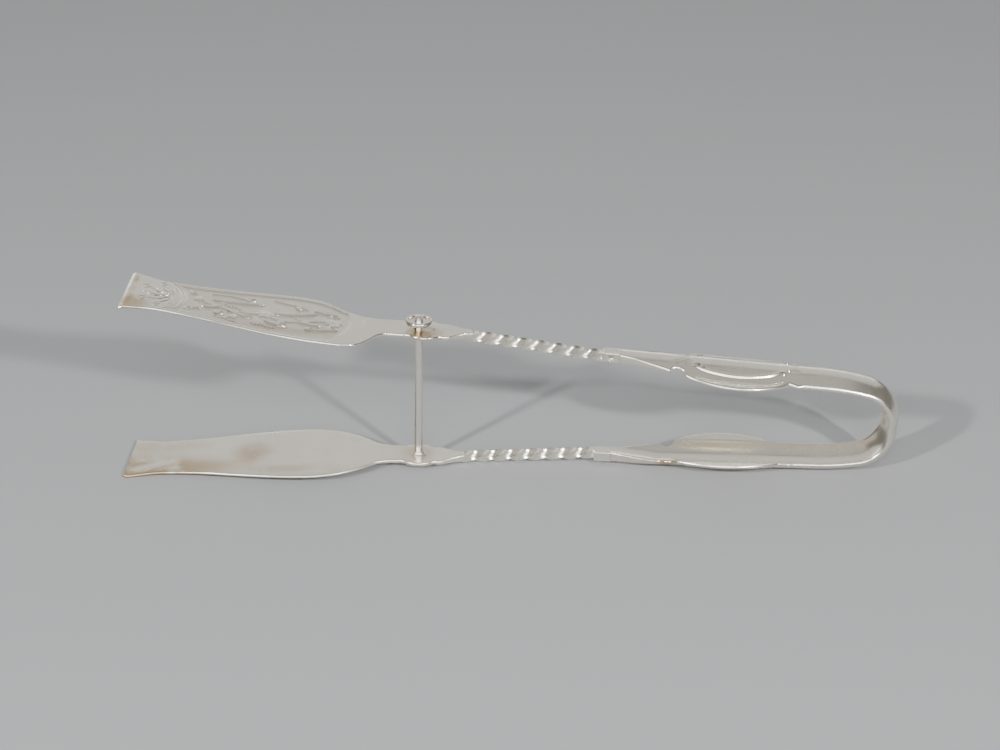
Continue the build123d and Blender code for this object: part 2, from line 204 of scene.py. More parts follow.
def blade_width(u, side):
    """Half width of blade, neck, boss and tang, given the blade's own half widths."""
    w = np.where(u < NECK_START, smooth(side, u),
                 np.where(u < TANG_START, np.interp(u, *zip(*NECK)), smooth(TANG, u)))
    w = np.maximum(w, np.sqrt(np.maximum(BOSS_RADIUS**2 - (u - BOSS) ** 2, 0)))
    for nick_u, nick_y in NICKS:
        inside = NICK_RADIUS**2 - (u - nick_u) ** 2
        w = np.where(inside > 0, np.minimum(w, nick_y - np.sqrt(np.maximum(inside, 0))), w)
    return w


def handle_width(u):
    """Half width of the handle: root, half-round notch, wing, cusp and strap."""
    cx, cy, r = circle_through(*WING)
    wing = cy + np.sqrt(np.maximum(r**2 - (u - cx) ** 2, 0))
    (x0, y0), (x1, y1) = NOTCH_START, NOTCH_END
    half = math.hypot(x1 - x0, y1 - y0) / 2
    lift = math.sqrt(NOTCH_ARC**2 - half**2)
    nx = (x0 + x1) / 2 - (y1 - y0) / (2 * half) * lift
    ny = (y0 + y1) / 2 + (x1 - x0) / (2 * half) * lift
    notch = ny - np.sqrt(np.maximum(NOTCH_ARC**2 - (u - nx) ** 2, 0))
    strap = np.interp(u, *zip(WING[2], STRAP_SHOULDER, (HANDLE_END, BOW_HALF_WIDTH)))
    return np.select([u < x0, u < x1, u < WING[2][0]], [smooth(ROOT_LINE, u), notch, wing], strap)


# ---- Relief ----------------------------------------------------------------------------------

def leaf(u, y, base, tip, width, height, rib=0.3):
    """Height of a pointed leaf from base to tip, with a middle groove."""
    (bx, by), (tx, ty) = base, tip
    length = math.hypot(tx - bx, ty - by)
    ax, ay = (tx - bx) / length, (ty - by) / length
    t = ((u - bx) * ax + (y - by) * ay) / length
    side = (u - bx) * -ay + (y - by) * ax
    inside = np.clip(t, 0, 1)
    half = width * np.sin(np.pi * inside**0.75) ** 0.8 + 1e-4
    dome = np.clip(1 - (side / half) ** 2, 0, 1) ** 0.6 * (np.abs(t - 0.5) < 0.5)
    return height * dome * (1 - rib * bell(side, 0.12))


def flower(u, y, centre, radius, petals, height):
    """Height of an open flower with a raised button."""
    du, dy = u - centre[0], y - centre[1]
    r, angle = np.hypot(du, dy), np.arctan2(dy, du)
    reach = radius * (0.62 + 0.38 * np.abs(np.cos(petals * angle / 2)) ** 0.7)
    body = np.clip(1 - (r / reach) ** 2, 0, 1) ** 0.5
    cup = body * (0.55 + 0.45 * np.clip(r / radius, 0, 1))
    eye = np.clip(1 - (r / (0.3 * radius)) ** 2, 0, 1) ** 0.5
    return height * np.maximum(cup, eye)


def ridge(u, y, line, width, height):
    """Height of a rounded ridge along a line of points."""
    near = np.full(np.shape(u), 9.0)
    for (ax, ay), (bx, by) in zip(line[:-1], line[1:]):
        lx, ly = bx - ax, by - ay
        t = np.clip(((u - ax) * lx + (y - ay) * ly) / (lx * lx + ly * ly + 1e-9), 0, 1)
        near = np.minimum(near, np.hypot(u - ax - t * lx, y - ay - t * ly))
    return height * np.clip(1 - (near / width) ** 2, 0, 1) ** 0.5


def scroll(centre, radius, start, turns, hand=1, count=26):
    """Points of a spiral that winds in to its eye."""
    t = np.linspace(0, 1, count)
    angle, r = start + hand * turns * 2 * math.pi * t, radius * (1 - 0.8 * t)
    return list(zip(centre[0] + r * np.cos(angle), centre[1] + r * np.sin(angle)))


def button(u, y, centre, radius, height):
    """Height of a half-round knob."""
    d = np.hypot(u - centre[0], y - centre[1])
    return height * np.clip(1 - (d / radius) ** 2, 0, 1) ** 0.5


def spray(u, y, root, way, size, height):
    """A fan of three small leaves."""
    lifted = np.zeros_like(u)
    for turn, reach in ((-0.55, 2.6), (0.0, 3.3), (0.6, 2.4)):
        angle = way + turn
        tip = (root[0] + size * reach * math.cos(angle), root[1] + size * reach * math.sin(angle))
        lifted = np.maximum(lifted, leaf(u, y, root, tip, 0.55 * size, height))
    return lifted


# ---- Blade ornament --------------------------------------------------------------------------
PANEL_DEPTH, PANEL_MARGIN, PANEL_END = 0.26, 1.7, 58.2
ORNAMENT_HEIGHT = PANEL_DEPTH + 0.14
DIVIDER, DIVIDER_SQUASH = (5.6, 9.4), 0.95       # centre and radius of the arc between flare and panel
END_BOW = 0.035                                  # how strongly the panel's end is curved
RINGS = (-0.15, 0.7)                             # cut lines beside the divider's arc
FRAME_INSET, FRAME_END, FRAME_STOP = 1.15, 1.6, 60.4
SCORE_LINE = 61.5
RING_CUT, FRAME_CUT, SCORE_CUT = 0.2, 0.09, 0.2  # depths of the cut lines

# Raised on the panel's ground, with -Y towards the upper blade's back: leaves (base, tip, width),
# flowers (centre, radius, petals), sprays (root, way, size), stems, and rows of berries (first, step,
# count, radius).
LEAVES = [((22.5, -2.2), (35.8, -3.6), 1.0), ((25.0, 1.0), (20.0, 2.8), 0.8),
          ((38.6, 0.6), (49.4, -2.2), 0.95), ((26.5, 2.4), (33.0, 5.2), 0.9),
          ((44.5, 3.2), (51.5, 4.6), 0.8), ((36.5, 5.4), (42.5, 7.4), 0.8)]
FLOWERS = [((36.2, 1.6), 2.3, 6), ((18.9, -1.6), 1.5, 5), ((54.0, 1.4), 2.5, 7), ((28.6, 5.6), 1.5, 5)]
SPRAYS = [((23.6, 4.2), 0.5, 0.9), ((30.6, -5.4), 0.2, 0.9), ((40.0, 4.4), 0.7, 0.9),
          ((43.6, -4.6), -0.2, 0.85), ((47.0, 6.6), 0.3, 0.8), ((18.2, 3.0), 0.6, 0.8)]
STEMS = [[(20.4, -0.2), (24.0, 1.4), (28.0, 2.6), (32.5, 2.6), (36.2, 1.6)],
         [(36.2, 1.6), (39.0, 3.6), (43.0, 4.0), (46.8, 3.0), (50.0, 1.6), (53.0, 1.4)],
         [(22.0, -5.6), (26.5, -6.1), (31.0, -5.4)], [(38.0, -7.2), (43.0, -6.2), (46.8, -4.6)]]
STEM_WIDTH, STEM_HEIGHT = 0.34, 0.24
BERRIES = [((24.2, 6.6), (1.0, 0.35), 6, 0.42), ((33.6, 7.6), (0.95, 0.22), 7, 0.42),
           ((26.0, -0.6), (0.95, 0.4), 5, 0.38), ((40.6, -0.6), (0.95, 0.5), 6, 0.36),
           ((29.2, 3.4), (0.8, 0.1), 6, 0.34)]
BERRY_HEIGHT, BERRY_SWAY = 0.3, 0.3
ROSETTE = (54.4, 1.4)

# Engraved in the flare: petals (angle, reach, width) about a root, and scrolls (centre, radius).
PALMETTE_ROOT, PALMETTE_HOLLOW = 12.8, 1.2
PALMETTE = [(0, 8.2, 1.1), (0.46, 7.4, 1.0), (0.92, 6.2, 0.9), (1.4, 5.2, 0.75)]
FLARE_SCROLLS = [((5.4, 3.4), 1.4), ((9.4, 6.2), 1.1)]
PETAL_SWELL, PETAL_CUT, SCROLL_CUT = 0.1, 0.24, 0.18


def panel_ornament(u, y):
    """Height of the leaves, flowers, stems and berries that stand on the panel's ground."""
    shapes = [leaf(u, y, base, tip, width, ORNAMENT_HEIGHT) for base, tip, width in LEAVES]
    shapes += [flower(u, y, centre, radius, count, ORNAMENT_HEIGHT) for centre, radius, count in FLOWERS]
    shapes += [spray(u, y, root, way, size, ORNAMENT_HEIGHT) for root, way, size in SPRAYS]
    shapes += [ridge(u, y, line, STEM_WIDTH, STEM_HEIGHT) for line in STEMS]
    for (berry_u, berry_y), step, count, radius in BERRIES:
        for j in range(count):
            centre = (berry_u + step[0] * j, berry_y + step[1] * j + BERRY_SWAY * math.sin(1.7 * j))
            shapes.append(button(u, y, centre, radius, BERRY_HEIGHT))
    middle_u, middle_y = ROSETTE
    for turn in (1, -1):
        curl = scroll((middle_u, middle_y + 3.6 * turn), 1.7, -turn * 1.2, 1.15, -turn)
        shapes.append(ridge(u, y, curl, 0.4, 0.34))
        wing_base, wing_tip = (48.6, middle_y + 5.6 * turn), (54.8, middle_y + 4.4 * turn)
        shapes.append(leaf(u, y, wing_base, wing_tip, 0.7, ORNAMENT_HEIGHT))
        shapes.append(ridge(u, y, scroll((17.4, 4.8 * turn), 1.2, turn * 2.6, 0.9, turn), 0.32, 0.24))
    return np.maximum.reduce(shapes)


def palmette(u, y):
    """Height of the flare's swelling petals, and depth of their outlines and of the scrolls."""
    height, cut = np.zeros_like(u), np.zeros_like(u)
    for turn in (1, -1):
        for angle, reach, width in PALMETTE:
            tip = (PALMETTE_ROOT - reach * math.cos(angle), turn * reach * math.sin(angle))
            base = (PALMETTE_ROOT - PALMETTE_HOLLOW * math.cos(angle),
                    turn * PALMETTE_HOLLOW * math.sin(angle))
            petal = leaf(u, y, base, tip, width, 1.0, 0)
            height += PETAL_SWELL * step_up(petal, 0.35, 0.9)
            cut = np.maximum(cut, PETAL_CUT * bell(petal - 0.25, 0.3) * (petal > 0.01))
        for (scroll_u, scroll_y), radius in FLARE_SCROLLS:
            line = scroll((scroll_u, scroll_y * turn), radius, math.pi / 2 * turn, 1.1, turn)
            cut = np.maximum(cut, ridge(u, y, line, 0.24, SCROLL_CUT))
    return height, cut


def blade_relief(u, y, near, far):
    """Engraved palmette in the flare, then a recessed panel with leaves, flowers and berries."""
    edge = np.minimum(near - y, far + y)
    arc = np.hypot(u - DIVIDER[0], y * DIVIDER_SQUASH) - DIVIDER[1]
    end = PANEL_END - u - END_BOW * y**2
    room = np.minimum(np.minimum(edge - PANEL_MARGIN, arc - 1.0), end)
    petals, cut = palmette(u, y)
    for ring in RINGS:
        cut = np.maximum(cut, RING_CUT * bell(arc - ring, 0.2) * (edge > 1.0))
    cut *= step_up(edge, 0.7, 1.2)
    frame_line = bell(np.minimum(edge, end + FRAME_END) - FRAME_INSET, 0.14)
    cut = np.maximum(cut, FRAME_CUT * frame_line * step_up(arc, 0.5, 1.5) * (u < FRAME_STOP))
    cut = np.maximum(cut, SCORE_CUT * bell(u - SCORE_LINE, 0.17))
    ground = -PANEL_DEPTH * step_up(room, -0.1, 0.25)
    return ground + panel_ornament(u, y) * step_up(room, 0.05, 0.35) + petals - cut


# ---- Handle ornament -------------------------------------------------------------------------
RIM = [(146.9, 3.0), (149.5, 4.1), (154, 5.0), (159, 5.3), (164, 4.9), (168.4, 3.9), (171.2, 2.4)]
RIM_HEIGHT, RIM_WIDTH, RIM_FADE_IN, RIM_FADE_OUT = 0.42, 0.42, (146.6, 148.4), (169.8, 171.6)
WING_HOLLOW, WING_EDGE_HEIGHT, WING_EDGE_INSET = 0.14, 0.12, 0.35
KNOBS = [(148.4, 2.5, 0.75), (149.8, 3.5, 0.6), (171.0, 3.5, 0.42), (172.4, 2.0, 0.45)]
KNOB_HEIGHT = 0.5
CHASED_SPRAYS = [((146.8, 1.2), -1, 1.0), ((173.4, 1.3), 1, 0.55)]       # root, way and size
CHASED_LEAVES = [(0.15, 4.6), (0.6, 4.0), (1.1, 3.2), (1.65, 2.4)]       # angle and reach
CHASED_CUT, VEIN_CUT = 0.12, 0.05


def handle_relief(u, y):
    """Raised rim inside the wing, knobs at its ends and chased leaves beyond them."""
    across = np.abs(y)
    line = smooth(RIM, u)
    span = step_up(u, *RIM_FADE_IN) * (1 - step_up(u, *RIM_FADE_OUT))
    height = RIM_HEIGHT * bell(across - line, RIM_WIDTH) * span
    height -= WING_HOLLOW * step_up(across - line, 0.1, 0.8) * span
    outer = bell(across - handle_width(u) + WING_EDGE_INSET, 0.22)
    height += WING_EDGE_HEIGHT * outer * span * (across > line + 1)
    for knob_u, knob_y, radius in KNOBS:
        height = np.maximum(height, button(u, across, (knob_u, knob_y), radius, KNOB_HEIGHT))
    cut = np.zeros_like(u)
    for (root_u, root_y), way, size in CHASED_SPRAYS:
        for angle, reach in CHASED_LEAVES:
            tip_u = root_u + way * size * reach * math.cos(angle)
            tip_y = root_y + size * reach * math.sin(angle) * 0.9
            width = 0.62 * size + 0.1
            shape = np.clip(leaf(u, across, (root_u, root_y), (tip_u, tip_y), width, 1.0, 0), 0, 1)
            cut = np.maximum(cut, CHASED_CUT * bell(shape - 0.3, 0.3) * (shape > 0.01))
            cut = np.maximum(cut, ridge(u, across, [(root_u, root_y), (tip_u, tip_y)], 0.1, VEIN_CUT))
    return height - cut


# ---- Mesh making -----------------------------------------------------------------------------

SHARP_EDGE, BAR_SHARP_EDGE = math.radians(50), math.radians(60)
EDGE_SHARE = 0.45          # each edge's rounding is at most this share of the sheet's thickness
EDGE_STEPS = 3             # points on each quarter round


def new_object(name, points, faces, sharp=SHARP_EDGE):
    """A smooth-shaded mesh object, in metres."""
    mesh = bpy.data.meshes.new(name)
    mesh.from_pydata(np.asarray(points).tolist(), [], faces)
    mesh.polygons.foreach_set("use_smooth", [True] * len(mesh.polygons))
    mesh.set_sharp_from_angle(angle=sharp)
    mesh.update()
    obj = bpy.data.objects.new(name, mesh)
    bpy.context.scene.collection.objects.link(obj)
    return obj


def skin_faces(stations, around):
    """Quads between closed rings, with a face over each end."""
    index = np.arange(stations * around).reshape(stations, around)
    a, b = index[:-1], index[1:]
    quads = np.stack([a, np.roll(a, -1, 1), np.roll(b, -1, 1), b], -1).reshape(-1, 4)
    return quads.tolist() + [index[0][::-1].tolist(), index[-1].tolist()]


def sheet(name, arm, u, z, normal, left, right, depth, height, profile, columns, inner_columns):
    """A closed sheet piece. At station i it spans Y from -left to right.

    u, z and normal give the outer line and its inward direction; profile(y) lifts the section
    inwards; depth(i, y) is the thickness and height(u, y) the relief, positive outwards."""
    turn = np.linspace(0, math.pi / 2, EDGE_STEPS + 1)[1:]
    middle_depth = np.array([float(depth(i, np.zeros(1))[0]) for i in range(len(u))])
    radius = np.minimum(EDGE_ROUNDING, EDGE_SHARE * middle_depth)
    first, flat = (radius - left)[:, None], (left + right - 2 * radius)[:, None]
    face_y = first + flat * np.linspace(0, 1, columns)
    inner_y = first + flat * np.linspace(1, 0, inner_columns)
    relief = height(np.repeat(u[:, None], columns, 1), face_y) if height else np.zeros_like(face_y)
    rings, lifts = [], []
    for i, (y, back_y, r, lo, hi) in enumerate(zip(face_y, inner_y, radius, -left, right)):
        out, drop = r * np.sin(turn), r - r * np.cos(turn)
        level_hi, level_lo = profile(hi), profile(lo)
        floor_hi = level_hi + float(depth(i, np.array([hi]))[0])
        floor_lo = level_lo + float(depth(i, np.array([lo]))[0])
        ys = np.concatenate([y, hi - r + out, (hi - r + out)[::-1][:-1], back_y,
                             lo + r - out, (lo + r - out)[::-1][:-1]])
        hs = np.concatenate([profile(y) - relief[i], level_hi + drop, floor_hi - drop[::-1][:-1],
                             profile(back_y) + depth(i, back_y), floor_lo - drop,
                             level_lo + drop[::-1][:-1]])
        rings.append(np.stack([u[i] + normal[i, 0] * hs, ys, z[i] + normal[i, 1] * hs], 1))
        lifts.append(np.concatenate([relief[i], np.zeros(len(ys) - columns)]))
    rings = np.array(rings)
    obj = new_object(name, keep_inside(place(arm, rings.reshape(-1, 3))), skin_faces(*rings.shape[:2]))
    layer = obj.data.attributes.new("relief", "FLOAT", "POINT")
    layer.data.foreach_set("value", np.concatenate(lifts).astype(np.float32))
    return obj


def stations(*runs):
    """Distances along the arm: runs of (start, end, pitch), joined."""
    parts = [np.linspace(a, b, max(2, round((b - a) / pitch) + 1))[:-1] for a, b, pitch in runs]
    return np.concatenate(parts + [[runs[-1][1]]])


# ---- Blades ----------------------------------------------------------------------------------
BLADE_PITCH = 0.2
NECK_STATION = 66          # a station falls here, just before the neck
LIP_STATIONS = 12          # stations from the lip's edge into the fold, all as wide as the tip
BLADE_COLUMNS = (141, 21)  # points across the outer and the inner face


def turned(vector, angle):
    """A flat vector turned anticlockwise."""
    (x, y), cos, sin = vector, math.cos(angle), math.sin(angle)
    return np.array([x * cos - y * sin, x * sin + y * cos])


def blade_line():
    """Outer line of the lip, its rounded fold and the blade, with inward normals and thickness."""
    run = stations((FOLD, NECK_STATION, BLADE_PITCH), (NECK_STATION, TANG_END, BLADE_PITCH))
    gap = smooth(BLADE_LINE, run)
    corner = np.array([FOLD, -TIP_HALF_GAP])
    lip = np.array([-math.cos(LIP_ANGLE), math.sin(LIP_ANGLE)])
    start = np.array([run[3] - run[0], gap[0] - gap[3]])
    start /= np.linalg.norm(start)
    turn = math.acos(float(-lip @ start))
    cut = FOLD_ROUNDING * math.tan(turn / 2)
    centre = corner + (lip + start) / np.linalg.norm(lip + start) * FOLD_ROUNDING / math.cos(turn / 2)
    fold = [centre + turned(corner + lip * cut - centre, angle) for angle in np.linspace(0, turn, 9)]
    lips = [corner + lip * d for d in np.linspace(LIP_LENGTH, cut, 9)[:-1]]
    keep = run > fold[-1][0] + BLADE_PITCH / 2
    line = np.concatenate([lips, fold, np.stack([run[keep], -gap[keep]], 1)])
    tangent = np.gradient(line, axis=0)
    tangent /= np.linalg.norm(tangent, axis=1)[:, None]
    normal = np.stack([-tangent[:, 1], tangent[:, 0]], 1)
    thick = smooth(BLADE_LINE, line[:, 0], 2)
    return line[:, 0], line[:, 1], normal, thick


def make_blade(arm):
    u, z, normal, thick = blade_line()
    flat_u = np.where(np.arange(len(u)) < LIP_STATIONS, 0.0, u)
    near = blade_width(flat_u, UPPER_FRONT if arm == "upper" else BLADE_SIDE)
    far = blade_width(flat_u, UPPER_BACK if arm == "upper" else BLADE_SIDE)

    def relief(face_u, face_y):
        body = np.repeat(flat_u[:, None], face_u.shape[1], 1)
        return blade_relief(body, face_y, near[:, None], far[:, None]) * step_up(body, 2.0, 3.0)

    obj = sheet(arm + "_blade_sheet", arm, u, z, normal, far, near,
                lambda i, y: np.full(len(y), thick[i]), relief, lambda y: np.zeros(np.shape(y)),
                *BLADE_COLUMNS)
    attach(obj, arm + "_arm")
    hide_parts(arm + "_blade")
    return obj


SLOT_POINTS = 64
SLOT_OUTER, SLOT_INNER = -20.5, -16.5      # the cutter's ends, outside both faces of the boss


def slot_cutter(arm):
    """A closed slug with the outline of the guide rod's slot."""
    half, r = SLOT_TRAVEL / 2, ROD_RADIUS + ROD_CLEARANCE
    outline = []
    for k in range(SLOT_POINTS):
        a = 2 * math.pi * (k + 0.5) / SLOT_POINTS
        outline.append((BOSS + math.copysign(half, math.cos(a)) + r * math.cos(a), r * math.sin(a)))
    bm = bmesh.new()
    low = [bm.verts.new(place(arm, (x, y, SLOT_OUTER))) for x, y in outline]
    high = [bm.verts.new(place(arm, (x, y, SLOT_INNER))) for x, y in outline]
    bm.faces.new(low[::-1])
    bm.faces.new(high)
    for k in range(SLOT_POINTS):
        after = (k + 1) % SLOT_POINTS
        bm.faces.new((low[k], low[after], high[after], high[k]))
    bmesh.ops.recalc_face_normals(bm, faces=bm.faces)
    mesh = bpy.data.meshes.new("slot_cutter")
    bm.to_mesh(mesh)
    bm.free()
    cutter = bpy.data.objects.new("slot_cutter", mesh)
    bpy.context.scene.collection.objects.link(cutter)
    return cutter


def cut_slot(obj, arm):
    """Cuts the guide rod's slot through a blade's boss."""
    cutter = slot_cutter(arm)
    modifier = obj.modifiers.new("slot", "BOOLEAN")
    modifier.operation, modifier.object, modifier.solver = "DIFFERENCE", cutter, "EXACT"
    graph = bpy.context.evaluated_depsgraph_get()
    done = bpy.data.meshes.new_from_object(obj.evaluated_get(graph), depsgraph=graph)
    obj.modifiers.clear()
    obj.data = done
    done.set_sharp_from_angle(angle=SHARP_EDGE)
    bpy.data.objects.remove(cutter)


blades = {arm: make_blade(arm) for arm in ARMS}
cut_slot(blades["upper"], "upper")


# ---- Handles ---------------------------------------------------------------------------------

# Stations of the handle: start, end and pitch, finest at the notch.
HANDLE_RUNS = [(BLOCK_END, 141.0, 0.25), (141.0, 146.0, 0.1), (146.0, 172.0, 0.17),
               (172.0, HANDLE_END, 0.16)]
HANDLE_COLUMNS = (131, 41)


def make_handle(arm):
    u = stations(*HANDLE_RUNS)
    width = handle_width(u)
    lift = (BLOCK_HEIGHT - SHEET) * np.clip((SCOOP_END - u) / (SCOOP_END - BLOCK_END), 0, 1)
    normal = np.tile([0.0, 1.0], (len(u), 1))
    obj = sheet(arm + "_handle_strip", arm, u, -crest_gap(u), normal, width, width,
                lambda i, y: wall(y) + lift[i], handle_relief, rise, *HANDLE_COLUMNS)
    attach(obj, arm + "_arm")
    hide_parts(arm + "_handle")
    return obj


handles = {arm: make_handle(arm) for arm in ARMS}


BEAD_RUN = (147.2, 171.4)
BEAD_SAMPLES = 900                           # points that measure the wing's edge
BEAD_ROWS = [(0.95, 0.21), (1.55, 0.17)]     # distance from the wing's edge, and radius
BEAD_PITCH = 2.25                            # in radii
BEAD_SINK = 0.03


def make_beads(arm):
    """Two rows of fine beads along the edge of each wing."""
    ball = bmesh.new()
    bmesh.ops.create_icosphere(ball, subdivisions=2, radius=1.0)
    shape = np.array([v.co for v in ball.verts])
    triangles = [[v.index for v in f.verts] for f in ball.faces]
    ball.free()
    edge_u = np.linspace(*BEAD_RUN, BEAD_SAMPLES)
    edge_steps = np.hypot(np.diff(edge_u), np.diff(handle_width(edge_u)))
    edge_length = np.concatenate([[0], np.cumsum(edge_steps)])
    points, faces = [], []
    for inset, radius in BEAD_ROWS:
        along = np.arange(inset, edge_length[-1] - inset, BEAD_PITCH * radius)
        u = np.interp(along, edge_length, edge_u)
        for turn in (1, -1):
            y = turn * (handle_width(u) - inset)
            z = rise(y) - crest_gap(u) - handle_relief(u, y) + BEAD_SINK
            for centre in np.stack([u, y, z], 1):
                faces += [[i + len(points) * len(shape) for i in t] for t in triangles]
                points.append(shape * radius + centre)
    obj = new_object(arm + "_wing_beads", place(arm, np.concatenate(points)), faces)
    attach(obj, arm + "_arm")
    return obj


beads = {arm: make_beads(arm) for arm in ARMS}


# ---- Bow -------------------------------------------------------------------------------------

BOW_STEPS = 13             # points on the straight stretch beside each handle
BOW_ARCS = [(BOW_SHOULDER, 30), (BOW_CORNER, 44), ((BOW_CORNER[0], 0.0), 14)]    # end, number of points
BOW_COLUMNS = (41, 25)


def arc_to(points, tangent, target, count):
    """Carries a line on by the circle that leaves it smoothly and reaches the target."""
    start = points[-1]
    normal = np.array([-tangent[1], tangent[0]])
    chord = np.array(target) - start
    centre = start + normal * float(chord @ chord) / (2 * float(chord @ normal))
    sweep = 2 * math.atan2(float(chord @ normal), float(chord @ tangent))
    for k in range(1, count + 1):
        points.append(centre + turned(start - centre, sweep * k / count))
    return turned(tangent, sweep)


def make_bow():
    """The channel strip bent into a U, from one handle to the other."""
    strap = np.linspace(HANDLE_END, HEEL, BOW_STEPS)
    points = list(np.stack([strap, -crest_gap(strap)], 1))
    tangent = np.array([1.0, crest_slope]) / math.hypot(1, crest_slope)
    for target, count in BOW_ARCS:
        tangent = arc_to(points, tangent, target, count)
    half = np.array(points)
    line = np.concatenate([half, (half * (1, -1))[-2::-1]])
    slope = np.gradient(line, axis=0)
    slope /= np.linalg.norm(slope, axis=1)[:, None]
    normal = np.stack([-slope[:, 1], slope[:, 0]], 1)
    normal[0], normal[-1] = (0, 1), (0, -1)
    width = np.full(len(line), BOW_HALF_WIDTH)
    obj = sheet("bow_strip", "lower", line[:, 0], line[:, 1], normal, width, width, lambda i, y: wall(y),
                None, rise, *BOW_COLUMNS)
    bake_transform(obj)
    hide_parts("bow_spring")
    return obj


bow = make_bow()


# ---- Twisted bars ----------------------------------------------------------------------------

BAR_CORNER, BAR_RINGS, BAR_POINTS = 0.16, 300, 9
BLOCK_HOLLOW, BLOCK_CORNER, BLOCK_POINTS = 0.015, 0.12, 41       # of the half width
BLOCK_START_RINGS = [(0, 0.62), (0.15, 0.8), (0.4, 0.92), (0.8, 0.98)]      # distance from that end, scale
BLOCK_STRAIGHT, BLOCK_RINGS = (1.1, 0.4), 30
BLOCK_END_RINGS = [(0.16, 1.0), (0.1, 0.97), (0.04, 0.96)]
DIMPLE_RIM, DIMPLE_FACE = 1.15, 0.25


def square_ring(half, hollow, corner, count):
    """A square section with hollow faces and softened corners."""
    ring = []
    for k in range(4):
        for x in np.linspace(-1, 1, count)[:-1]:
            fall = half - hollow * (1 - x * x) - corner * max(0, abs(x) - 0.9) * 4
            side = x * (half - corner * (abs(x) > 0.99) * 0.5)
            ring.append(turned((fall, side), k * math.pi / 2))
    return np.array(ring)


def wire_rings():
    """Rings of the twisted square wire, which turns left-handed from tang to block."""
    tang = np.array([TANG_END, 0, -BAR_START_GAP])
    end = np.array([BLOCK_START, 0, -BAR_END_GAP])
    way = (end - tang) / np.linalg.norm(end - tang)
    start = tang - way * BAR_OVERRUN
    up = np.array([-way[2], 0, way[0]])
    length = np.linalg.norm(end + way * BAR_OVERRUN - start)
    ring = square_ring(BAR_SIDE / 2, BAR_HOLLOW, BAR_CORNER, BAR_POINTS)
    rings = []
    for s in np.linspace(0, length, BAR_RINGS):
        y, z = turned(ring.T, BAR_PHASE - math.pi / 2 * s / QUARTER_TURN)
        rings.append(start + way * s + np.outer(y, (0, 1, 0)) + np.outer(z, up))
    return np.array(rings)


def block_rings(dimpled):
    """Rings of the block that ends the wire, with a round dimple in one side face if it is dimpled."""
    section = square_ring(1.0, BLOCK_HOLLOW, BLOCK_CORNER, BLOCK_POINTS)
    section *= (BLOCK_WIDTH / 2, BLOCK_HEIGHT / 2)
    length = BLOCK_END - BLOCK_START
    straight = np.linspace(BLOCK_STRAIGHT[0], length - BLOCK_STRAIGHT[1], BLOCK_RINGS)
    places = BLOCK_START_RINGS + [(d, 1.0) for d in straight]
    places += [(length - d, scale) for d, scale in BLOCK_END_RINGS]
    rings = np.array([np.stack([np.full(len(section), BLOCK_START + d), section[:, 0] * scale,
                                section[:, 1] * scale - BLOCK_GAP], 1) for d, scale in places])
    if dimpled:
        from_middle = np.hypot(rings[..., 0] - (BLOCK_START + BLOCK_END) / 2, rings[..., 2] + BLOCK_GAP)
        bowl = np.clip(1 - (from_middle / (DIMPLE_RADIUS * DIMPLE_RIM)) ** 2, 0, 1) ** 0.5
        rings[..., 1] -= np.where(rings[..., 1] > BLOCK_WIDTH / 2 - DIMPLE_FACE, DIMPLE_DEPTH * bowl, 0)
    return rings


def make_bar(arm):
    points, faces = [], []
    for rings in (wire_rings(), block_rings(arm == "upper")):
        faces += [[i + len(points) for i in face] for face in skin_faces(*rings.shape[:2])]
        points += rings.reshape(-1, 3).tolist()
    obj = new_object(arm + "_twisted_bar", place(arm, points), faces, BAR_SHARP_EDGE)
    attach(obj, arm + "_arm")
    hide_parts(arm + "_twist")
    return obj


bars = {arm: make_bar(arm) for arm in ARMS}


# ---- Materials -------------------------------------------------------------------------------

